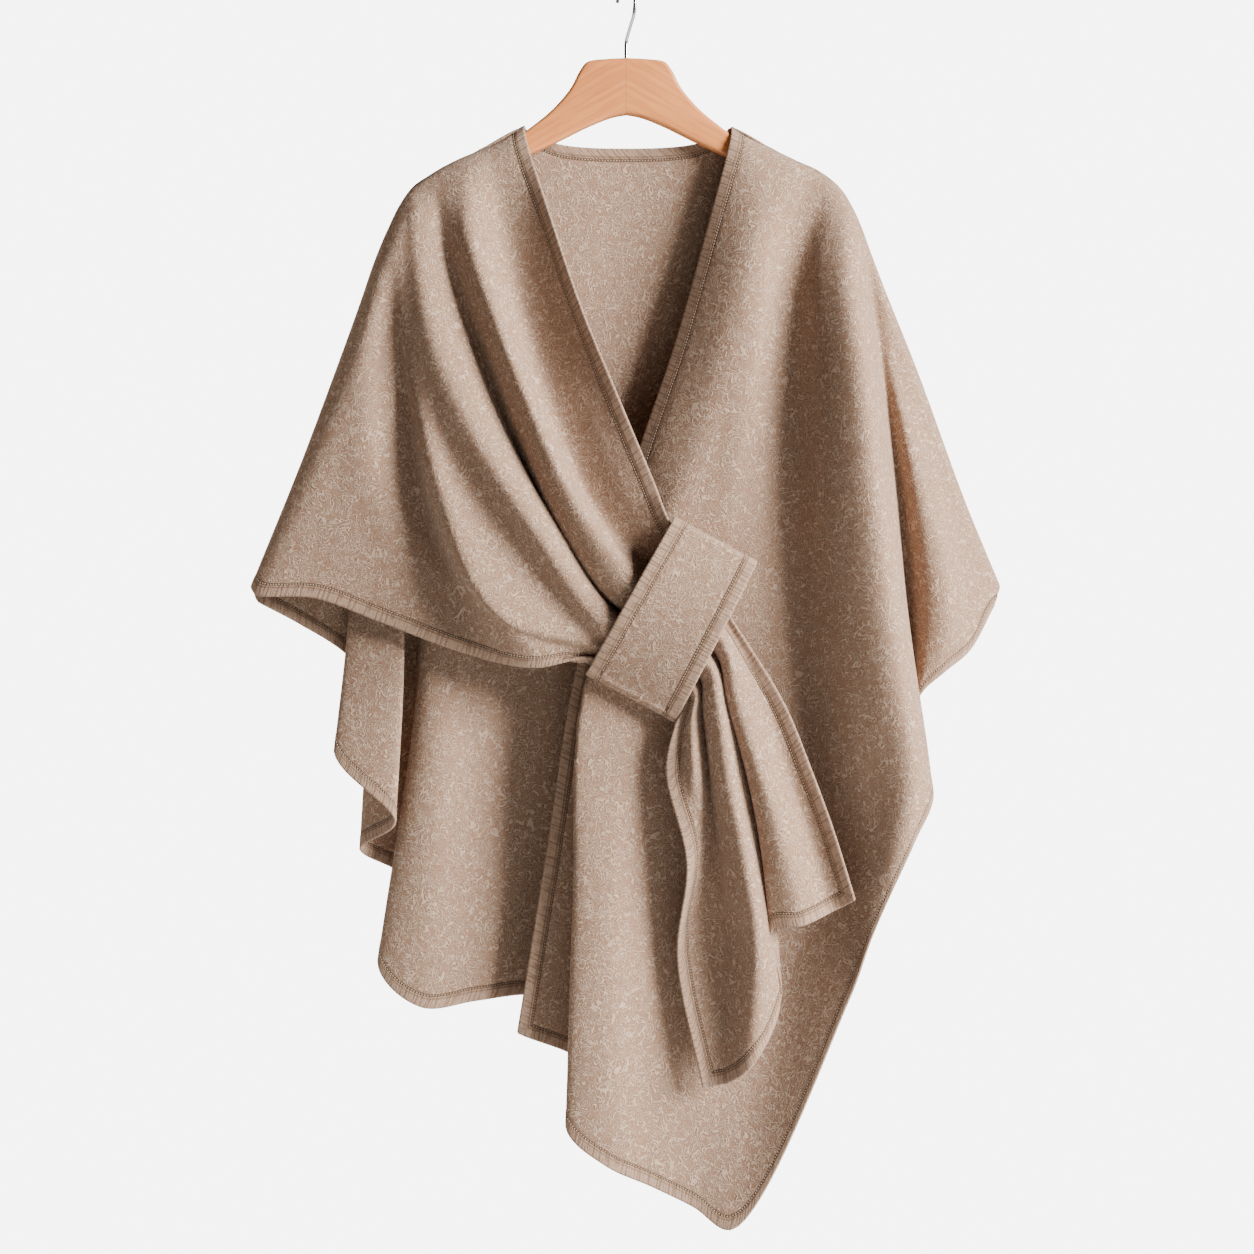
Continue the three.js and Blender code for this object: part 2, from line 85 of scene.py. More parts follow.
# How finely the surfaces are worked out and meshed
COLUMNS_PER_FOLD = 16  # steps that a front is worked out in from one row of its table to the next
BACK_COLUMNS_PER_FOLD = 12  # columns of mesh from one row of the back's table to the next
WRAP_MESH = (200, 180)  # even steps across and down, between the hems
RIGHT_MESH = (210, 150)
BACK_STEPS_DOWN = 110
BAND_STEPS = {"end": 24, "span": 40, "fine_width": 59, "width": 24}
HEM_LINES = np.array([0, 1.2, 3.5, 6.5, 9.5, 11.2, 12, 12.8, 14.5, 18, 23])  # closer steps along a hem
HEM_LINES_SHARE = 0.4  # of a row's length that they take at most
RIM_ANGLES = (45, 90, 135)  # degrees round an edge of the cloth, from its front face to its back face
HANGER_STEPS = 6  # from one point of the outline to the next
BEVEL_STEPS = 6
HOOK_STEPS = {"bow": 12, "along": 12, "round": 5}

# Looks. Noise is in waves a metre, and a pair is the span of a value over which a change takes place.
FALL = (1.0, 0.0)
WOOL = (0.248, 0.141, 0.088, 1)
# Paler wool: a painted highlight on the strands, and the paler tone of the hems and of the fine speckle
WOOL_LIGHT = (0.64, 0.475, 0.36, 1)
# Darker wool: the random mottle, and painted shade in the strands' gaps and on the fainter seam line
WOOL_DARK = (0.17, 0.100, 0.060, 1)
# Painted shade in the hem's rib grooves and along the stitch line
WOOL_SHADE = (0.10, 0.055, 0.032, 1)
WOOL_RELIEF = (0.6, 0.0009)  # strength and depth
WOOL_SURFACE = {
    "Roughness": 0.93, "Specular IOR Level": 0.15,
    "Sheen Weight": 0.2, "Sheen Roughness": 0.45, "Sheen Tint": (0.95, 0.84, 0.74, 1),
}
NAP_NOISE = 1100
PATCH_NOISE = 26
STRAND_NOISE = 78
STRAND_CURL = 0.9
STRAND_CUT_NOISE = 130
STRAND_RINGS = 7.2  # level lines between the lowest and the highest value of the noise
STRAND_LAYERS = ((0.0, 0.0, 0.0), (3.1, 1.7, 5.3), (7.7, 4.2, 2.9))  # how far the noise of each is moved
STRAND_CUT = (0.44, 0.49)
STRAND_CREST = (0.36, 0.46)
STRAND_GAP_SHADE = (0.08, 0.22)
HEM_BLEND = (HEM_WIDTH - 0.4, HEM_WIDTH + 0.6)  # where its looks give way to the cloth's
HEM_SMOOTHNESS = 0.85  # how much of the strands is missing on a hem
# Half widths of the painted shade along the stitch line, and along the fainter line beside it
SEAM_HALF_WIDTH = 2.3
SECOND_SEAM_HALF_WIDTH = 1.3
LINE_CORE = 0.3  # the full part of a seam's shaded line
RIB_NOISE = 0.40  # waves a millimetre along the hem
RIB_STRETCH = 0.06  # of the change along the hem, the share that a rib changes across it
RIB_SPAN = (0.40, 0.50)
THREAD_NOISE = 1800
THREAD_COLOURS = ((0.38, 0.27, 0.19, 1), (0.52, 0.39, 0.29, 1))
WOOD_LIGHT = (0.72, 0.26, 0.075, 1)
WOOD = (0.58, 0.19, 0.05, 1)
WOOD_DARK = (0.44, 0.13, 0.035, 1)
WOOD_JOINT = (0.30, 0.13, 0.06, 1)
WOOD_JOINT_HALF_WIDTH = (0.0002, 0.0006)  # metres, of its full part and of its faded edge
WOOD_RELIEF = (0.12, 0.0003)  # strength and depth
ARM_DIRECTION = (0.87, 0.49)  # outwards and downwards, for each 1 along an arm
GRAIN_WAVES = (14.0, 260.0, 120.0)  # along an arm, across it and through it
STEEL_NOISE = 900
STEEL_COLOURS = ((0.66, 0.66, 0.65, 1), (0.80, 0.80, 0.79, 1))

# The view and the studio, in metres
CAMERA_DISTANCE = 2.5
CAMERA_FRAME_WIDTH = 1.254  # at the hanger
CAMERA_CENTRE = (0.001, -0.644)  # across and up from the hook's inside top
CAMERA_SENSOR = 36  # millimetres
CAMERA_REACH = 50  # farthest that it sees
FLOOR_CORNERS = ((-2.5, -3.2), (2.5, 2.3))
FLOOR_LEVEL = -1.9
FLOOR_COLOUR = (0.8, 0.8, 0.79, 1)
SURROUND_LIT = ((1.0, 0.80, 0.66, 1), 0.04)  # colour and strength
SURROUND_SEEN = ((0.885, 0.885, 0.88, 1), 7.5)
LIGHT_TARGET = (0, 0, -0.55)
LIGHTS = {
    "key": {"position": (5.05, -2.80, 1.35), "size": 3.0, "power": 1700, "colour": (1.0, 0.985, 0.96)},
    "wall_bounce": {"position": (-2.6, 0.8, -0.5), "size": 1.6, "power": 40, "colour": (1.0, 0.9, 0.8)},
}

# The fold tables have one row for each fold line or edge, from the shoulder line to the hem.
# A point is (across, forward, drop): to the viewer's right of the hook, towards the viewer
# and down from the origin. Its columns are the stations named above the table, and the number
# with each name is how many steps the cloth is worked out in from there to the next station.
# A table that ends at the hem has one column more, the hem itself.

# The left front from the shoulder line to the mouth of the band. The last entry of a row is its
# place in the mouth: (along the band's long axis from its centre, forward).
WRAP_STATIONS = {
    "shoulder": 8, "over_shoulder": 14, "collarbone": 16, "chest": 16, "ribs": 16, "gather": 14, "mouth": 12,
}
WRAP_FOLDS = {
    "neckEdge": [(-102, 0, 144), (-101, 9, 156), (-78, 25, 229), (-45, 38, 328), (-9, 50, 417),
                 (28, 62, 507), (-81, 70)],
    "besideNeck": [(-117, 0, 154), (-115, 10, 167), (-93, 14, 240), (-64, 20, 340), (-33, 36, 428),
                   (4, 54, 516), (-60, 60)],
    "upperCrease": [(-138, 0, 165), (-136, 10, 179), (-119, 8, 251), (-93, 9, 350), (-62, 26, 452),
                    (-24, 44, 537), (-38, 54)],
    "firstRidge": [(-165, 0, 176), (-161, 13, 191), (-154, 30, 258), (-129, 44, 337), (-96, 56, 424),
                   (-46, 71, 529), (-14, 79)],
    "firstSide": [(-183, 0, 185), (-180, 12, 203), (-166, 22, 268), (-141, 31, 343), (-108, 40, 437),
                  (-62, 56, 547), (12, 70)],
    "deepValley": [(-193, 0, 191), (-190, 11, 211), (-177, 10, 278), (-151, 10, 358), (-116, 17, 452),
                   (-66, 32, 554), (19, 52)],
    "secondSide": [(-202, 0, 197), (-198, 12, 219), (-184, 20, 288), (-159, 27, 362), (-124, 38, 446),
                   (-71, 56, 542), (25, 70)],
    "secondRidge": [(-216, 0, 209), (-210, 13, 224), (-204, 27, 290), (-187, 42, 365), (-150, 57, 450),
                    (-92, 73, 543), (39, 73)],
    "softValley": [(-227, 0, 225), (-221, 13, 240), (-215, 23, 308), (-202, 33, 388), (-171, 44, 474),
                   (-102, 58, 572), (52, 62)],
    "thirdRidge": [(-237, 0, 246), (-230, 14, 258), (-224, 19, 322), (-212, 26, 402), (-184, 54, 513),
                   (-128, 72, 628), (59, 60)],
    "sideValley": [(-248, 0, 273), (-241, 14, 285), (-232, 12, 348), (-217, 13, 428), (-197, 22, 530),
                   (-121, 66, 640), (66, 53)],
    "wingRidge": [(-271, 0, 339), (-263, 15, 350), (-258, 23, 405), (-244, 27, 500), (-180, 27, 600),
                  (-112, 62, 655), (73, 51)],
    "wing": [(-318, 0, 465), (-309, 15, 476), (-288, 22, 515), (-244, 26, 580), (-169, 31, 640),
             (-102, 57, 669), (77, 51)],
    "sideHem": [(-374, 0, 603), (-368, 9, 611), (-309, 18, 614), (-243, 24, 638), (-161, 34, 668),
                (-92, 53, 683), (70, 57)],
}

# The tail below the band: each row's share of the cloth's width from its right edge, then its points.
# The first is its place where it leaves the band, like a place in the mouth.
TAIL_STATIONS = {"exit": 12, "below_band": 12, "upper_tail": 12, "middle_tail": 10, "lower_tail": 10}
TAIL_FOLDS = {
    "rightEdge": (0, [(-27, 64), (153, 60, 718), (181, 62, 786), (200, 65, 838), (212, 67, 876),
                      (222, 68, 909)]),
    "edgeValley": (0.08, [(-20, 61), (139, 56, 721), (161, 55, 790), (182, 55, 844), (195, 57, 885),
                          (205, 58, 919)]),
    "rightCrest": (0.18, [(-6, 76), (109, 75, 718), (131, 77, 788), (154, 76, 861), (165, 75, 908),
                          (171, 74, 933)]),
    "rightTurn": (0.27, [(5, 69), (99, 68, 715), (119, 68, 788), (132, 67, 851), (139, 66, 900),
                         (143, 65, 938)]),
    "underTurn": (0.34, [(9, 54), (105, 52, 727), (122, 51, 798), (136, 51, 876), (148, 53, 959),
                         (151, 55, 1012)]),
    "middleCrest": (0.46, [(21, 76), (90, 77, 723), (100, 78, 793), (116, 77, 872), (128, 78, 959),
                           (122, 72, 1070)]),
    "middleTurn": (0.57, [(33, 68), (77, 66, 720), (86, 65, 793), (98, 61, 870), (108, 56, 956),
                          (100, 58, 1088)]),
    "deepCrease": (0.64, [(38, 54), (75, 50, 727), (83, 47, 803), (87, 40, 861), (94, 40, 939),
                          (91, 52, 1091)]),
    "smallCrest": (0.76, [(50, 67), (64, 68, 737), (67, 68, 788), (75, 50, 858), (79, 38, 929),
                          (83, 50, 1093)]),
    "shadedValley": (0.88, [(60, 58), (55, 55, 742), (55, 60, 793), (67, 60, 866), (64, 40, 939),
                            (78, 50, 1093)]),
    "leftEdge": (1, [(70, 56), (49, 60, 739), (40, 58, 784), (60, 64, 873), (51, 47, 968),
                     (76, 51, 1094)]),
}

# The right front, from its opening edge to the tip of its wing
RIGHT_STATIONS = {
    "shoulder": 8, "over_shoulder": 12, "collarbone": 16, "chest": 16, "ribs": 20, "hip": 20, "thigh": 16,
}
RIGHT_FOLDS = {
    "openingEdge": [(106, 0, 146), (105, 9, 158), (85, 10.5, 236), (50, 11, 362), (10, 13, 480),
                    (-48, 22, 686), (-78, 16, 870), (-107, 14, 1047)],
    "hiddenTurn": [(120, 0, 154), (120, 11, 167), (102, 21, 243), (70, 26, 372), (33, 28, 492),
                   (-14, 27, 690), (-32, 18, 880), (-40, 14, 1080)],
    "lowerFoldEdge": [(134, 0, 161), (134, 12, 175), (118, 29, 250), (91, 38, 380), (58, 39, 500),
                      (-40, 38, 700), (-51, 43, 915), (-58, 44, 1137)],
    "lowerRidge": [(148, 0, 168), (148, 12, 182), (130, 32, 257), (108, 42, 386), (82, 40, 508),
                   (4, 38.5, 708), (-16, 48, 925), (-20, 50, 1171)],
    "chestRidge": [(161, 0, 174), (161, 12, 189), (142, 29, 262), (124, 41, 391), (105, 40, 514),
                   (66, 27, 722), (36, 27, 940), (24, 40, 1193)],
    "underTail": [(171, 0, 179), (172, 11, 194), (148, 24, 267), (135, 35, 395), (124, 35, 519),
                  (116, 22, 742), (98, 22, 965), (66, 37, 1214)],
    "toCorner": [(181, 0, 184), (183, 9.5, 199), (159, 17, 271), (148, 26, 397), (144, 28, 525),
                 (150, 22, 756), (142, 20, 988), (104, 48, 1234)],
    "sideValley": [(191, 0, 190), (195, 10, 205), (175, 16, 277), (169, 25, 396), (168, 27, 525),
                   (184, 26, 748), (204, 28, 880), (217, 60, 1009)],
    "besideRidge": [(204, 0, 197), (209, 12, 213), (195, 34, 285), (197, 60, 397), (200, 67, 525),
                    (221, 62, 738), (240, 58, 845), (240, 68, 944)],
    "sideRidge": [(217, 0, 210), (221, 13, 226), (219, 46, 293), (230, 77, 400), (241, 87, 522),
                  (262, 86, 690), (278, 82, 785), (280, 70, 853)],
    "ridgeSide": [(229, 0, 232), (231, 9, 244), (236, 29, 300), (247, 46, 402), (259, 54, 512),
                  (277, 58, 655), (293, 59, 760), (300, 53, 808)],
    "behindRidge": [(236, 0, 249), (237, 7, 258), (243, 11, 314), (256, 20, 406), (270, 20, 508),
                    (281, 17, 640), (284, 17, 715), (283, 18, 752)],
    "wingInner": [(258, 0, 307), (259, 9, 317), (262, 17, 368), (274, 31, 442), (288, 41, 532),
                  (298, 43, 620), (296, 34, 680), (291, 27, 711)],
    "wingMiddle": [(290, 0, 387), (290, 10, 398), (292, 21, 446), (300, 33, 502), (309, 43, 562),
                   (316, 45, 625), (316, 38, 665), (314, 30, 688)],
    "wingOuter": [(338, 0, 518), (337, 8, 527), (337, 14, 550), (338, 20, 580), (339, 25, 610),
                  (340, 27, 635), (341, 24, 655), (341, 19, 666)],
    "wingTip": [(373, 0, 603), (372, 4, 606), (371, 6, 608), (370, 7, 611), (369, 7, 614), (368, 7, 617),
                (367, 7, 620), (366, 6, 623)],
}

# The back, from wing tip to wing tip
BACK_STATIONS = {"shoulder": 8, "over_shoulder": 14, "shoulder_blade": 18, "waist": 20, "hip": 24}
BACK_FOLDS = {
    "leftTip": [(-374, 0, 603), (-373, -3, 606), (-372, -5, 609), (-371, -6, 612), (-370, -6, 615),
                (-369, -6, 618)],
    "leftWingOuter": [(-326, 0, 485), (-325, -7, 494), (-325, -12, 520), (-326, -15, 560),
                      (-327, -15, 600), (-328, -13, 640)],
    "leftWing": [(-287, 0, 381), (-285, -8, 392), (-284, -14, 440), (-283, -18, 520), (-282, -20, 600),
                 (-281, -18, 671)],
    "behindTube": [(-266, 0, 323), (-264, -8, 334), (-262, -20, 390), (-258, -28, 500), (-255, -28, 610),
                   (-252, -26, 712)],
    "tubeLeft": [(-252, 0, 282), (-249, -8, 293), (-258, -16, 370), (-268, -16, 500), (-279, -2, 670),
                 (-291, 2, 768)],
    "tubeRight": [(-245, 0, 264), (-242, -8, 275), (-236, -9, 360), (-226, -7, 500), (-222, 9, 680),
                  (-230, 10, 837)],
    "secondLayer": [(-239, 0, 250), (-236, -9, 262), (-240, -18, 350), (-252, -24, 500), (-259, -26, 700),
                    (-268, -24, 868)],
    "behindPanel": [(-233, 0, 238), (-230, -10, 250), (-226, -22, 340), (-218, -32, 500),
                    (-214, -36, 720), (-222, -34, 900)],
    "panelEdge": [(-227, 0, 225), (-223, -10, 238), (-212, -14, 330), (-200, -14, 500), (-207, -6, 700),
                  (-248, -10, 985)],
    "panelRidge": [(-212, 0, 204), (-208, -10, 218), (-190, -11, 320), (-176, -8, 500), (-184, 4, 740),
                   (-205, 0, 1023)],
    "panelFace": [(-192, 0, 191), (-189, -10, 205), (-168, -13, 310), (-150, -14, 500), (-150, -8, 750),
                  (-150, -10, 1018)],
    "leftBlade": [(-160, 0, 175), (-158, -11, 189), (-138, -17, 300), (-112, -22, 500), (-105, -24, 760),
                  (-100, -24, 1014)],
    "neckLeft": [(-104, 0, 145), (-103, -11, 158), (-93, -16, 290), (-74, -20, 500), (-66, -20, 760),
                 (-60, -20, 1020)],
    "behindArmLeft": [(-99, -10.5, 147), (-97, -12, 160), (-84, -16, 292), (-60, -20, 500),
                      (-52, -21, 760), (-46, -22, 1020)],
    "neckCurveLeft": [(-67, -12, 159), (-66, -13, 172), (-52, -18, 300), (-28, -24, 500), (-18, -28, 760),
                      (-8, -30, 1016)],
    "centre": [(0, -14, 163), (0, -15, 177), (0, -20, 300), (8, -22, 500), (18, -20, 760),
               (30, -18, 1010)],
    "neckCurveRight": [(68, -12, 159), (67, -13, 172), (52, -18, 300), (46, -26, 500), (54, -30, 760),
                       (66, -32, 1016)],
    "behindArmRight": [(101, -10.5, 147), (99, -12, 160), (82, -16, 292), (76, -23, 500), (84, -22, 760),
                       (96, -20, 1013)],
    "neckRight": [(106, 0, 145), (105, -11, 158), (93, -16, 290), (88, -22, 500), (98, -20, 760),
                  (110, -18, 1012)],
    "rightBlade": [(160, 0, 174), (158, -11, 188), (136, -17, 300), (122, -24, 500), (130, -30, 760),
                   (140, -34, 1014)],
    "rightRidge": [(193, 0, 189), (190, -10, 204), (166, -13, 310), (154, -16, 500), (165, -16, 760),
                   (172, -14, 1010)],
    "rightValley": [(212, 0, 204), (208, -10, 218), (190, -12, 320), (184, -18, 500), (196, -26, 740),
                    (204, -30, 1000)],
    "outerRidge": [(222, 0, 218), (219, -10, 232), (208, -14, 330), (210, -12, 500), (222, -10, 720),
                   (214, -10, 960)],
    "outerValley": [(232, 0, 238), (229, -9, 250), (222, -20, 340), (228, -28, 490), (238, -34, 690),
                    (232, -34, 900)],
    "sideRidge": [(244, 0, 270), (242, -8, 282), (238, -14, 360), (248, -12, 480), (262, -10, 650),
                  (262, -10, 840)],
    "sideValley": [(262, 0, 318), (260, -8, 330), (256, -18, 390), (262, -26, 480), (268, -30, 600),
                   (262, -28, 755)],
    "rightWing": [(290, 0, 387), (288, -8, 398), (286, -14, 440), (290, -18, 500), (294, -20, 580),
                  (296, -18, 680)],
    "rightWingOuter": [(338, 0, 518), (337, -7, 527), (336, -11, 550), (336, -13, 580), (337, -13, 620),
                       (338, -11, 655)],
    "rightTip": [(373, 0, 603), (372, -3, 606), (371, -5, 608), (370, -6, 611), (369, -6, 614),
                 (368, -6, 617)],
}
BACK_NECK = ("neckLeft", "neckRight")  # the back's top edge is hemmed between these rows

# Half of the hanger's outline: (across, drop) from the crown to the arm's end and back along its lower edge
HANGER_TOP = [
    (0, CROWN_TOP), (20, 76.5), (39, 79.5), (46, 88), (55, 105), (66, 119), (78.5, 131.5),
    (91, 141.5), (101, 149), (112, 156.3), (131, 167.2), (169, 184.5), (192, 197.8), (204, 207),
]
HANGER_END = [(210, 213), (210, 223), (202, 228)]
HANGER_LOWER = [(180, 214), (140, 193), (100, 174), (68, 159), (37.7, 144), (15, 135), (0, 132)]

# The hook below its bow, as (across in its plane, drop) from the crown up
HOOK_STEM = [(0, CROWN_TOP - 0.3), (0, 66), (1, 58), (10, 46), (19, 35)]


def place(point):
    across, forward, drop = point
    return np.array([across, -forward, -drop], dtype=float)


def band_place(along, through, forward):
    """A place by the band's centre: along its long axis, and through it the way that the cloth goes."""
    across = BAND_CENTRE[0] - math.sin(BAND_TILT) * along + math.cos(BAND_TILT) * through
    drop = BAND_CENTRE[1] + math.cos(BAND_TILT) * along + math.sin(BAND_TILT) * through
    return place((across, forward, drop))


def size_of(vectors):
    return np.maximum(np.linalg.norm(vectors, axis=-1, keepdims=True), TINY)


def spline(points, at):
    """Centripetal Catmull-Rom through points, read at the places `at`, from 0 to the last point's number."""
    points, at = np.asarray(points, dtype=float), np.asarray(at, dtype=float)
    full = np.concatenate([2 * points[:1] - points[1:2], points, 2 * points[-1:] - points[-2:-1]])
    start = np.clip(np.floor(at).astype(int), 0, len(points) - 2)
    t = (at - start).reshape((-1,) + (1,) * (points.ndim - 1))
    p0, p1, p2, p3 = (full[start + k] for k in range(4))
    d0, d1, d2 = (np.sqrt(size_of(step)) for step in (p1 - p0, p2 - p1, p3 - p2))
    m1 = ((p1 - p0) / d0 - (p2 - p0) / (d0 + d1) + (p2 - p1) / d1) * d1
    m2 = ((p2 - p1) / d1 - (p3 - p1) / (d1 + d2) + (p3 - p2) / d2) * d1
    square = -3 * p1 + 3 * p2 - 2 * m1 - m2
    cube = 2 * p1 - 2 * p2 + m1 + m2
    return p1 + t * (m1 + t * (square + t * cube))


def down_the_cloth(stations, steps):
    """Rows of points from those at the stations. A column leaves the shoulder fold level."""
    first, second = stations[:2]
    folded = (np.abs(first[:, 1]) < SHOULDER_FOLD_REACH)[:, None]
    mirrored = np.stack([second[:, 0], 2 * first[:, 1] - second[:, 1], second[:, 2]], axis=-1)
    before = np.where(folded, mirrored, 2 * first - second)
    levels = np.concatenate([k + np.arange(n) / n for k, n in enumerate(steps)] + [[len(steps)]])
    return spline(np.concatenate([before[None], stations]), levels + 1)


def panel_grid(table, columns_per_fold, stations):
    rows = np.array([[place(point) for point in row] for row in table.values()])
    folds = len(rows) - 1
    at = np.linspace(0, folds, folds * columns_per_fold + 1)
    lines = np.stack([spline(rows[:, k], at) for k in range(rows.shape[1])])
    return down_the_cloth(lines, list(stations.values()))


def wrap_grid():
    """The left front with its tail. The cloth goes in at the band's left side and out at its right side."""
    mouth, way_out = -BAND_WIDTH_LOWER / 2, BAND_WIDTH_LOWER / 2
    drape = np.array([[place(point) for point in points] + [band_place(along, mouth, forward)]
                      for *points, (along, forward) in WRAP_FOLDS.values()])
    tail = np.array([[band_place(along, way_out, forward)] + [place(point) for point in points]
                     for _, ((along, forward), *points) in TAIL_FOLDS.values()])
    folds = len(drape) - 1
    shares = np.linspace(0, 1, folds * COLUMNS_PER_FOLD + 1)
    tail_at = np.interp(shares, [share for share, _ in TAIL_FOLDS.values()], np.arange(len(tail)))
    lines = [spline(drape[:, k], shares * folds) for k in range(drape.shape[1])]
    lines += [spline(tail[:, k], tail_at) for k in range(tail.shape[1])]
    return down_the_cloth(np.stack(lines), [*WRAP_STATIONS.values(), *TAIL_STATIONS.values()])


def lengths(grid, axis):
    """Length along the grid's rows (axis 1) or columns (axis 0) from its start."""
    steps = np.linalg.norm(np.diff(grid, axis=axis), axis=-1)
    zero = np.zeros_like(np.take(steps, [0], axis=axis))
    return np.concatenate([zero, np.cumsum(steps, axis=axis)], axis=axis)


def read_along(values, run, at):
    """The rows of values read at the lengths `at`, where run is each row's length from the start."""
    return np.stack([np.interp(at, run, column) for column in values.T], axis=-1)


def respaced(grid, count, hem_at_start):
    """Each row of the grid read again at even steps, with closer steps along the hem at one or both ends."""
    result = []
    for line, run in zip(grid, lengths(grid, 1)):
        total = run[-1]
        hem = HEM_LINES * min(1.0, HEM_LINES_SHARE * total / HEM_LINES[-1])
        low = hem if hem_at_start else np.array([0.0])
        high = total - hem[::-1]
        middle = np.linspace(low[-1], high[0], count + 1)[1:-1]
        result.append(read_along(line, run, np.concatenate([low, middle, high])))
    return np.array(result)


def respaced_down(grid, count, hem_at_start):
    return np.swapaxes(respaced(np.swapaxes(grid, 0, 1), count, hem_at_start), 0, 1)


def normals(grid, closed):
    if closed:
        along = np.roll(grid, -1, axis=0) - np.roll(grid, 1, axis=0)
    else:
        along = np.gradient(grid, axis=0)
    normal = np.cross(along, np.gradient(grid, axis=1))
    return normal / size_of(normal)


def edge_distance(grid, edges, start_span):
    """Distance of each point to the nearest of the hemmed edges, and the length run along that edge.

    Where start_span gives two columns, the first row is hemmed between them only."""
    across, down = lengths(grid, 1), lengths(grid, 0)
    from_start = down.copy()
    if start_span:
        from_start[:, :start_span[0]] = FAR
        from_start[:, start_span[1] + 1:] = FAR
    # Each edge's run starts at another number, so that no two edges have the same ribs
    choices = {
        "first_column": (across, down),
        "last_column": (across[:, -1:] - across, down + FAR),
        "first_row": (from_start, across + 2 * FAR),
        "last_row": (down[-1:] - down, across + 3 * FAR),
    }
    near, run = np.full(grid.shape[:2], FAR), np.zeros(grid.shape[:2])
    for edge in edges:
        distance, along = choices[edge]
        closer = distance < near
        near, run = np.where(closer, distance, near), np.where(closer, along, run)
    return near, run


def half_thickness(near):
    past_seam = near - HEM_WIDTH
    fall = np.clip((past_seam - HEM_FALL[0]) / (HEM_FALL[1] - HEM_FALL[0]), 0, 1)
    raised = HEM_RISE * (1 - fall * fall * (3 - 2 * fall))
    groove = GROOVE_DEPTH * np.exp(-(past_seam / GROOVE_WIDTH) ** 2)
    return CLOTH / 2 + raised - groove


def rims(index, closed):
    """The edges to round: for each, the points' numbers along it and those of the points one step inside."""
    left, right = (index[:, 0], index[:, 1]), (index[::-1, -1], index[::-1, -2])
    if closed:
        return [[np.append(line, line[0]) for line in side] for side in (left, right)]
    return [left, (index[-1], index[-2]), right]


def rim_points(grid, normal, half, edge, inward):
    """Lines of points that round an edge from its front face to its back face."""
    middle, up, reach = (each.reshape(-1, each.shape[-1])[edge] for each in (grid, normal, half))
    out = middle - grid.reshape(-1, 3)[inward]
    out /= size_of(out)
    return [middle + reach * (math.cos(turn) * up + math.sin(turn) * out) for turn in np.radians(RIM_ANGLES)]


def strip_faces(one, two):
    return np.stack([one[:-1], two[:-1], two[1:], one[1:]], -1)


def wall_normals(grid, closed):
    """The grid's normals. On the shoulder fold they lie in the plane where the front and the back meet."""
    normal = normals(grid, closed)
    if not closed:
        on_fold = np.abs(grid[0, :, 1]) < SHOULDER_FOLD_REACH
        normal[0, on_fold, 1] = 0
        normal[0] /= size_of(normal[0])
    return normal


def wall_faces(index, closed):
    """The faces of both sides of a wall, and of the flat end at the start of cloth that isn't a ring."""
    looped = np.concatenate([index, index[:1]]) if closed else index
    a, b, c, d = looped[:-1, :-1], looped[1:, :-1], looped[1:, 1:], looped[:-1, 1:]
    front, back = np.stack([a, b, c, d], -1), np.stack([a, d, c, b], -1) + index.size
    faces = [front.reshape(-1, 4), back.reshape(-1, 4)]
    if not closed:
        start = index[0, ::-1]
        faces.append(strip_faces(start, start + index.size))
    return faces


def cloth_mesh(name, grid, near, run, closed):
    """A wall of cloth with rounded edges about a grid, which is a ring where closed is true."""
    normal, half = wall_normals(grid, closed), half_thickness(near)[..., None]
    index = np.arange(near.size).reshape(near.shape)
    points = [(grid + normal * half).reshape(-1, 3), (grid - normal * half).reshape(-1, 3)]
    faces = wall_faces(index, closed)
    nears, runs = [near.reshape(-1)] * 2, [run.reshape(-1)] * 2
    for edge, inward in rims(index, closed):
        strips = [edge]
        for line in rim_points(grid, normal, half, edge, inward):
            strips.append(np.arange(len(edge)) + sum(len(each) for each in points))
            points.append(line)
            nears.append(np.zeros(len(edge)))
            runs.append(run.reshape(-1)[edge])
        strips.append(edge + near.size)
        faces += [strip_faces(one, two) for one, two in zip(strips, strips[1:])]
    mesh = bpy.data.meshes.new(name)
    mesh.from_pydata((np.concatenate(points) * MM).tolist(), [], np.concatenate(faces).tolist())
    mesh.validate()
    for label, values in (("edge_mm", nears), ("run_mm", runs)):
        attribute = mesh.attributes.new(label, "FLOAT", "POINT")
        attribute.data.foreach_set("value", np.concatenate(values).astype(np.float32))
    return joined(mesh)


def joined(mesh):
    """The mesh with the corners merged where its rims meet, and with its faces turned out."""
    work = bmesh.new()
    work.from_mesh(mesh)
    bmesh.ops.remove_doubles(work, verts=work.verts, dist=SAME_PLACE)
    gaps = [edge for edge in work.edges if edge.is_boundary]
    bmesh.ops.holes_fill(work, edges=gaps, sides=WIDEST_GAP)
    bmesh.ops.recalc_face_normals(work, faces=work.faces)
    work.to_mesh(mesh)
    work.free()
    return mesh


def new_piece(mesh, material):
    """A smooth-shaded piece with the mesh in this material."""
    mesh.polygons.foreach_set("use_smooth", [True] * len(mesh.polygons))
    mesh.materials.clear()
    mesh.materials.append(material)
    piece = bpy.data.objects.new(mesh.name, mesh)
    bpy.context.scene.collection.objects.link(piece)
    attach(piece, "root")
    return piece


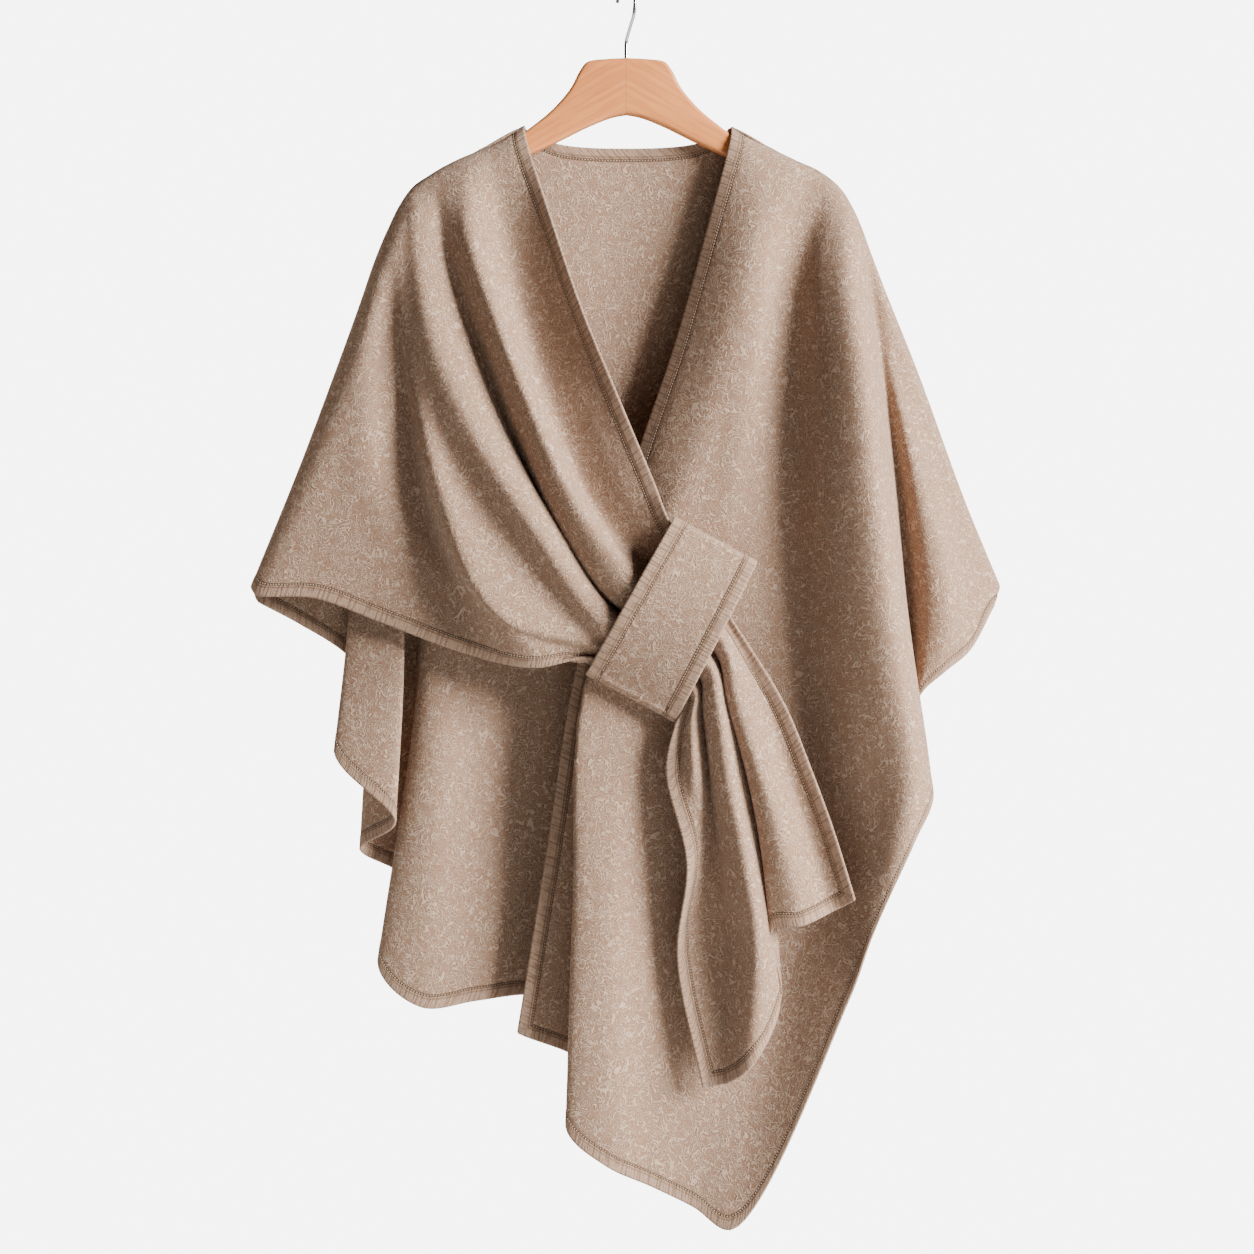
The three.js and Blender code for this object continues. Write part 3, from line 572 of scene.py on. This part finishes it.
class Graph:
    """The nodes of one material, with a short call for each kind that is used here."""

    def __init__(self, name):
        self.material = bpy.data.materials.new(name)
        self.material.use_nodes = True
        self.nodes, self.links = self.material.node_tree.nodes, self.material.node_tree.links

    def fill(self, node, inputs):
        """Sets each input to a value, or links it where it is another node's output."""
        for socket, value in inputs.items():
            if isinstance(value, bpy.types.NodeSocket):
                self.links.new(value, node.inputs[socket])
            else:
                node.inputs[socket].default_value = value

    def add(self, kind, inputs, **settings):
        node = self.nodes.new("ShaderNode" + kind)
        for label, value in settings.items():
            setattr(node, label, value)
        self.fill(node, inputs)
        return node

    def finish(self, inputs):
        self.fill(self.nodes["Principled BSDF"], inputs)
        return self.material

    def object_place(self):
        return self.add("TexCoord", {}).outputs["Object"]

    def attribute(self, name):
        return self.add("Attribute", {}, attribute_name=name).outputs["Fac"]

    def moved(self, vector, offset):
        return self.add("VectorMath", {0: vector, 1: offset}).outputs[0]

    def vector(self, *parts):
        return self.add("CombineXYZ", dict(enumerate(parts))).outputs[0]

    def math(self, operation, *values):
        return self.add("Math", dict(enumerate(values)), operation=operation).outputs[0]

    def times(self, first, second):
        return self.math("MULTIPLY", first, second)

    def ramp(self, value, span, rise=(0.0, 1.0)):
        """A smooth change over the span of the value, from the first number of rise to the second."""
        inputs = {"Value": value, "From Min": span[0], "From Max": span[1]}
        inputs.update({"To Min": rise[0], "To Max": rise[1]})
        return self.add("MapRange", inputs, interpolation_type="SMOOTHSTEP").outputs[0]

    def mix(self, factor, first, second):
        """A colour between two. The node's sockets for colours come after those for numbers and vectors."""
        first_colour, second_colour, result = 6, 7, 2
        inputs = {0: factor, first_colour: first, second_colour: second}
        return self.add("Mix", inputs, data_type="RGBA").outputs[result]

    def noise(self, vector, scale, detail, distortion=0.0):
        inputs = {"Vector": vector, "Scale": scale, "Detail": detail, "Distortion": distortion}
        return self.add("TexNoise", inputs).outputs["Fac"]

    def bump(self, height, strength, distance):
        inputs = {"Height": height, "Strength": strength, "Distance": distance}
        return self.add("Bump", inputs).outputs["Normal"]


def curly_strands(graph, where, offset):
    """Short curly strands, as pieces of the level lines of a soft noise. Also gives the gaps between them."""
    moved = graph.moved(where, offset)
    curl = graph.noise(moved, STRAND_NOISE, 0.0, STRAND_CURL)
    rings = graph.math("PINGPONG", graph.times(curl, STRAND_RINGS), 0.5)
    cut = graph.ramp(graph.noise(moved, STRAND_CUT_NOISE, 0.0), STRAND_CUT)
    # In felt_material the strand mask takes a painted highlight, and the gap mask takes painted shade
    strand, gap = graph.ramp(rings, STRAND_CREST), graph.ramp(rings, STRAND_GAP_SHADE, FALL)
    return graph.times(strand, cut), graph.times(gap, cut)


def line_shade(graph, distance, centre, half_width):
    """Where shade is painted along a seam: 1 on a line at this distance from the cloth's edge, 0 beside it.
    """
    away = graph.math("ABSOLUTE", graph.math("SUBTRACT", distance, centre))
    return graph.ramp(away, (LINE_CORE * half_width, half_width), FALL)


def hem_ribs(graph, distance, in_hem):
    """Short rib grooves across a turned hem, from a noise that runs along the edge; sunk, and given painted
    shade.
    """
    place_on_hem = graph.vector(graph.attribute("run_mm"), graph.times(distance, RIB_STRETCH))
    return graph.times(graph.ramp(graph.noise(place_on_hem, RIB_NOISE, 0.0), RIB_SPAN, FALL), in_hem)


def felt_material():
    """Felted wool: short curly strands on a close nap, and ribbed turned hems, with painted highlight and
    shade.
    """
    graph = Graph("felted_wool")
    where, distance = graph.object_place(), graph.attribute("edge_mm")
    strands, gaps = curly_strands(graph, where, STRAND_LAYERS[0])
    for offset in STRAND_LAYERS[1:]:
        more_strands, more_gaps = curly_strands(graph, where, offset)
        strands, gaps = graph.math("MAXIMUM", strands, more_strands), graph.math("MAXIMUM", gaps, more_gaps)
    grain = graph.noise(where, NAP_NOISE, 2.0)
    patches = graph.noise(where, PATCH_NOISE, 3.0)
    in_hem = graph.ramp(distance, HEM_BLEND, FALL)
    ribs = hem_ribs(graph, distance, in_hem)
    open_cloth = graph.math("SUBTRACT", 1.0, graph.times(in_hem, HEM_SMOOTHNESS))
    strand_highlight_and_relief, gap_painted_shade = graph.times(strands, open_cloth), graph.times(gaps, open_cloth)
    # Where each tint shows, how strong it is, and its colour
    tints = (
        # Painted shade in the gaps beside the strands
        (gap_painted_shade, 0.45, WOOL_DARK),
        # Painted highlight on the strands' crests, which the bump also raises
        (strand_highlight_and_relief, 0.50, WOOL_LIGHT),
        (in_hem, 0.17, WOOL_LIGHT),
        # Painted shade in the hem's rib grooves, which the bump also sinks
        (ribs, 0.55, WOOL_SHADE),
        (graph.ramp(grain, (0.42, 0.62)), 0.26, WOOL_LIGHT),
        # Painted shade of a fainter second stitch line, where the mesh has no groove
        (line_shade(graph, distance, SECOND_SEAM, SECOND_SEAM_HALF_WIDTH), 0.75, WOOL_DARK),
        # Painted shade in the stitch line's groove
        (line_shade(graph, distance, HEM_WIDTH, SEAM_HALF_WIDTH), 0.9, WOOL_SHADE),
    )
    base = graph.mix(graph.ramp(patches, (0.3, 0.7), (0.0, 0.12)), WOOL, WOOL_DARK)
    for amount, strength, colour in tints:
        base = graph.mix(graph.times(amount, strength), base, colour)
    height = graph.math("ADD", strand_highlight_and_relief, graph.times(grain, 0.5))
    height = graph.math("SUBTRACT", height, graph.times(ribs, 0.5))
    return graph.finish({"Base Color": base, "Normal": graph.bump(height, *WOOL_RELIEF), **WOOL_SURFACE})


def thread_material():
    """The sewing thread, a shade lighter than the cloth."""
    graph = Graph("sewing_thread")
    twist = graph.noise(graph.object_place(), THREAD_NOISE, 1.0)
    return graph.finish({"Base Color": graph.mix(twist, *THREAD_COLOURS), "Roughness": 0.7})


def wood_material():
    """Light tan wood with its grain along each arm, meeting in a chevron at the middle joint."""
    graph = Graph("hanger_wood_finish")
    split = graph.add("SeparateXYZ", {0: graph.object_place()}).outputs
    side = graph.math("ABSOLUTE", split[0])
    outwards, downwards = ARM_DIRECTION
    along = graph.math("SUBTRACT", graph.times(side, outwards), graph.times(split[2], downwards))
    across = graph.math("ADD", graph.times(side, downwards), graph.times(split[2], outwards))
    parts = [graph.times(part, waves) for part, waves in zip((along, across, split[1]), GRAIN_WAVES)]
    place_in_grain = graph.vector(*parts)
    grain = graph.noise(place_in_grain, 1.0, 4.0, 0.4)
    fine = graph.noise(place_in_grain, 4.0, 2.0)
    colour = graph.mix(graph.ramp(grain, (0.35, 0.7)), WOOD_LIGHT, WOOD)
    colour = graph.mix(graph.ramp(fine, (0.45, 0.75), (0.0, 0.35)), colour, WOOD_DARK)
    colour = graph.mix(graph.ramp(side, WOOD_JOINT_HALF_WIDTH, (0.55, 0.0)), colour, WOOD_JOINT)
    return graph.finish({
        "Base Color": colour, "Normal": graph.bump(grain, *WOOD_RELIEF),
        "Roughness": graph.ramp(grain, (0.3, 0.7), (0.38, 0.5)), "Coat Weight": 0.08, "Coat Roughness": 0.3,
    })


def steel_material():
    """Polished steel with faint streaks."""
    graph = Graph("hook_steel_finish")
    streaks = graph.noise(graph.object_place(), STEEL_NOISE, 2.0)
    roughness = graph.ramp(streaks, (0.3, 0.7), (0.16, 0.28))
    colour = graph.mix(streaks, *STEEL_COLOURS)
    return graph.finish({"Base Color": colour, "Roughness": roughness, "Metallic": 1.0})


def ring_faces(levels, count, first=0):
    """The faces of a closed rod with rings of corners one after another, numbered on from first."""
    rings = [range(first + level * count, first + (level + 1) * count) for level in range(levels)]
    faces = [tuple(rings[0][::-1]), tuple(rings[-1])]
    for one, two in zip(rings, rings[1:]):
        faces += [(one[k - 1], one[k], two[k], two[k - 1]) for k in range(count)]
    return faces


def stitch_corners(line, normal):
    """The corners of one stitch over its points: a square ring about each."""
    forward = line[-1] - line[0]
    forward /= size_of(forward)
    corners = []
    for point, up, (lift, radius) in zip(line, normal, STITCH_PROFILE):
        across = np.cross(forward, up)
        across /= size_of(across)
        corners += [point + up * (lift + radius * y) + across * radius * x for x, y in STITCH_RING]
    return corners


def stitches(name, lines, material):
    """Rows of short stitches that lie on lines of (points, normals), as one mesh."""
    corners, faces = [], []
    for points, normal in lines:
        run = lengths(points[None], 1)[0]
        for start in np.arange(STITCH_PITCH / 2, run[-1] - STITCH_LENGTH, STITCH_PITCH):
            at = start + np.linspace(0, STITCH_LENGTH, len(STITCH_PROFILE))
            faces += ring_faces(len(STITCH_PROFILE), len(STITCH_RING), len(corners))
            corners += stitch_corners(read_along(points, run, at), read_along(normal, run, at))
    mesh = bpy.data.meshes.new(name)
    mesh.from_pydata((np.array(corners) * MM).tolist(), [], faces)
    return new_piece(mesh, material)


def from_edge(values, edge):
    """The values of a grid as rows that start at the edge."""
    if edge in ("first_row", "last_row"):
        values = np.swapaxes(values, 0, 1)
    return values[:, ::-1] if edge in ("last_column", "last_row") else values


def hem_places(grid, normal, near):
    """Pairs of (point, normal) at the hem's width from the grid's first column, clear of its other edges."""
    places = []
    for line, ups, nearest in zip(grid, normal, near):
        run = lengths(line[None], 1)[0]
        if run[-1] >= HEM_WIDTH and np.interp(HEM_WIDTH, run, nearest) >= HEM_WIDTH - STITCH_CORNER:
            places.append((read_along(line, run, HEM_WIDTH), read_along(ups, run, HEM_WIDTH)))
    return np.array(places)


def stitch_lines(grid, near, edges, closed):
    """The lines at the hem's width from each edge, on both faces of the cloth."""
    normal = normals(grid, closed)
    lift = CLOTH / 2 - STITCH_SINK
    lines = []
    for edge in edges:
        places = hem_places(*(from_edge(values, edge) for values in (grid, normal, near)))
        if len(places) > 2:
            lines += [(places[:, 0] + up * lift, up) for up in (places[:, 1], -places[:, 1])]
    return lines


def cloth_piece(node, grid, edges, looks, closed=False, start_span=None):
    """The cloth of one node in its material, and the stitches of its hemmed edges."""
    cloth, thread = looks
    near, run = edge_distance(grid, edges, start_span)
    piece = new_piece(cloth_mesh(node + "_cloth", grid, near, run, closed), cloth)
    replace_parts(piece, node)
    sewn = stitches(node + "_stitches", stitch_lines(grid, near, edges, closed), thread)
    return piece, sewn


def wrap_front(looks):
    across, down = WRAP_MESH
    grid = respaced_down(respaced(wrap_grid(), across, True), down, False)
    piece, sewn = cloth_piece("wrap_front", grid, ("first_column", "last_column", "last_row"), looks)


def right_front(looks):
    across, down = RIGHT_MESH
    grid = panel_grid(RIGHT_FOLDS, COLUMNS_PER_FOLD, RIGHT_STATIONS)
    grid = respaced_down(respaced(grid, across, True), down, False)
    piece, sewn = cloth_piece("right_front", grid, ("first_column", "last_row"), looks)


def back_panel(looks):
    grid = panel_grid(BACK_FOLDS, BACK_COLUMNS_PER_FOLD, BACK_STATIONS)
    grid = respaced_down(grid, BACK_STEPS_DOWN, True)
    names = list(BACK_FOLDS)
    neck = [names.index(name) * BACK_COLUMNS_PER_FOLD for name in BACK_NECK]
    piece, sewn = cloth_piece("back_panel", grid, ("first_row", "last_row"), looks, start_span=neck)


def band_front(along):
    return BAND_FRONT - BAND_LEAN * along - BAND_BOW * along ** 2


def band_end(sign, straight):
    """The half turn at one end of the band, as (along, forward)."""
    front = band_front(sign * straight)
    middle, half_depth = (front + BAND_BACK) / 2, (front - BAND_BACK) / 2
    turns = np.linspace(0, math.pi, BAND_STEPS["end"] + 1)
    along = sign * (straight + BAND_END_RADIUS * np.sin(turns))
    return list(zip(along, middle + sign * half_depth * np.cos(turns)))


def loop_band(looks):
    """The band: a flat ring of cloth round the gathered front, wider at its lower end."""
    half_length = BAND_LENGTH / 2 - CLOTH / 2
    straight = half_length - BAND_END_RADIUS
    spans = np.linspace(-straight, straight, BAND_STEPS["span"] + 1)[1:-1]
    back_side = [(along, BAND_BACK) for along in spans[::-1]]
    front_side = [(along, band_front(along)) for along in spans]
    ring = np.array(band_end(1, straight) + back_side + band_end(-1, straight) + front_side)
    widths = np.interp(ring[:, 0], [-half_length, half_length], [BAND_WIDTH_UPPER, BAND_WIDTH_LOWER])
    shares = np.linspace(-0.5, 0.5, BAND_STEPS["fine_width"] + 1)
    grid = np.array([[band_place(along, share * width, forward) for share in shares]
                     for (along, forward), width in zip(ring, widths)])
    grid = respaced(grid, BAND_STEPS["width"], True)
    piece, sewn = cloth_piece("loop_band", grid, ("first_column", "last_column"), looks, closed=True)


def fine_curve(points, steps):
    return spline(points, np.linspace(0, len(points) - 1, steps * (len(points) - 1) + 1))


def hanger_wood(material):
    """The wooden body: its outline with rounded edges."""
    half = fine_curve(HANGER_TOP + HANGER_END + HANGER_LOWER, HANGER_STEPS)
    outline = np.concatenate([half, half[-2:0:-1] * (-1, 1)])
    tangent = np.roll(outline, -1, axis=0) - np.roll(outline, 1, axis=0)
    tangent /= size_of(tangent)
    inward = np.stack([-tangent[:, 1], tangent[:, 0]], -1)
    turns = np.linspace(0, math.pi / 2, BEVEL_STEPS + 1)
    sections = [(-1, turn) for turn in turns] + [(1, turn) for turn in turns[::-1]]
    corners = []
    for side, turn in sections:
        inset = HANGER_BEVEL * (1 - math.sin(turn))
        depth = HANGER_THICKNESS / 2 - HANGER_BEVEL * (1 - math.cos(turn))
        corners += [(x * MM, side * depth * MM, -z * MM) for x, z in outline + inward * inset]
    mesh = bpy.data.meshes.new("hanger_wood_body")
    mesh.from_pydata(corners, [], ring_faces(len(sections), len(outline)))
    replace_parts(new_piece(joined(mesh), material), "hanger_wood")


def wire_mesh(name, path):
    """A round wire with closed ends along a path in metres."""
    curve = bpy.data.curves.new("hook_path", "CURVE")
    curve.dimensions = "3D"
    curve.bevel_depth = HOOK_WIRE / 2 * MM
    curve.bevel_resolution = HOOK_STEPS["round"]
    curve.use_fill_caps = True
    line = curve.splines.new("POLY")
    line.points.add(len(path) - 1)
    for point, (x, y, z) in zip(line.points, path):
        point.co = (x, y, z, 1)
    source = bpy.data.objects.new("hook_path", curve)
    bpy.context.scene.collection.objects.link(source)
    mesh = bpy.data.meshes.new_from_object(source.evaluated_get(bpy.context.evaluated_depsgraph_get()))
    bpy.data.objects.remove(source)
    mesh.name = name
    return mesh


def hanger_hook(material):
    """The hook: a wire from the crown that turns over the rail."""
    bow = HOOK_INNER_RADIUS + HOOK_WIRE / 2
    turns = np.linspace(0, math.pi * HOOK_SWEEP, HOOK_STEPS["bow"] + 1)
    line = HOOK_STEM + [(bow * math.cos(turn), HOOK_INNER_RADIUS - bow * math.sin(turn)) for turn in turns]
    points = [place((math.sin(HOOK_TURN) * reach, math.cos(HOOK_TURN) * reach, drop)) for reach, drop in line]
    mesh = wire_mesh("hanger_hook_wire", fine_curve(points, HOOK_STEPS["along"]) * MM)
    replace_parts(new_piece(mesh, material), "hanger_hook")


def camera():
    """Square on to the front."""
    data = bpy.data.cameras.new("camera")
    data.sensor_width = CAMERA_SENSOR
    data.lens = CAMERA_SENSOR * CAMERA_DISTANCE / CAMERA_FRAME_WIDTH
    data.clip_end = CAMERA_REACH
    view = bpy.data.objects.new("camera", data)
    across, height = CAMERA_CENTRE
    view.location = (across, -CAMERA_DISTANCE, height)
    view.rotation_euler = (math.radians(90), 0, 0)
    bpy.context.scene.collection.objects.link(view)
    bpy.context.scene.camera = view


def area_light(name, position, size, power, colour):
    data = bpy.data.lights.new(name, "AREA")
    data.shape = "DISK"
    data.size = size
    data.energy = power
    data.color = colour
    light = bpy.data.objects.new(name, data)
    light.location = position
    light.rotation_euler = (Vector(LIGHT_TARGET) - Vector(position)).to_track_quat("-Z", "Y").to_euler()
    bpy.context.scene.collection.objects.link(light)


def studio_floor():
    """A pale floor well below the cape."""
    (left, front), (right, rear) = FLOOR_CORNERS
    outline = ((left, front), (right, front), (right, rear), (left, rear))
    mesh = bpy.data.meshes.new("studio_floor")
    mesh.from_pydata([(x, y, FLOOR_LEVEL) for x, y in outline], [], [tuple(range(len(outline)))])
    mesh.materials.append(Graph("studio_floor_paint").finish({"Base Color": FLOOR_COLOUR, "Roughness": 0.9}))
    floor = bpy.data.objects.new("studio_floor", mesh)
    bpy.context.scene.collection.objects.link(floor)


def surround():
    """A pale surround that the camera sees, and a faint warm one that lights the cape."""
    world = bpy.data.worlds.new("pale_surround")
    world.use_nodes = True
    nodes, links = world.node_tree.nodes, world.node_tree.links
    lit, seen = nodes["Background"], nodes.new("ShaderNodeBackground")
    for node, (colour, strength) in ((lit, SURROUND_LIT), (seen, SURROUND_SEEN)):
        node.inputs["Color"].default_value = colour
        node.inputs["Strength"].default_value = strength
    path = nodes.new("ShaderNodeLightPath")
    mix = nodes.new("ShaderNodeMixShader")
    sources = (path.outputs["Is Camera Ray"], lit.outputs[0], seen.outputs[0])
    for source, socket in zip(sources, mix.inputs):
        links.new(source, socket)
    links.new(mix.outputs[0], nodes["World Output"].inputs["Surface"])
    bpy.context.scene.world = world


camera()
studio_floor()
surround()
for name, light in LIGHTS.items():
    area_light(name, **light)

cape_looks = (felt_material(), thread_material())
wrap_front(cape_looks)
right_front(cape_looks)
back_panel(cape_looks)
loop_band(cape_looks)
hanger_wood(wood_material())
hanger_hook(steel_material())
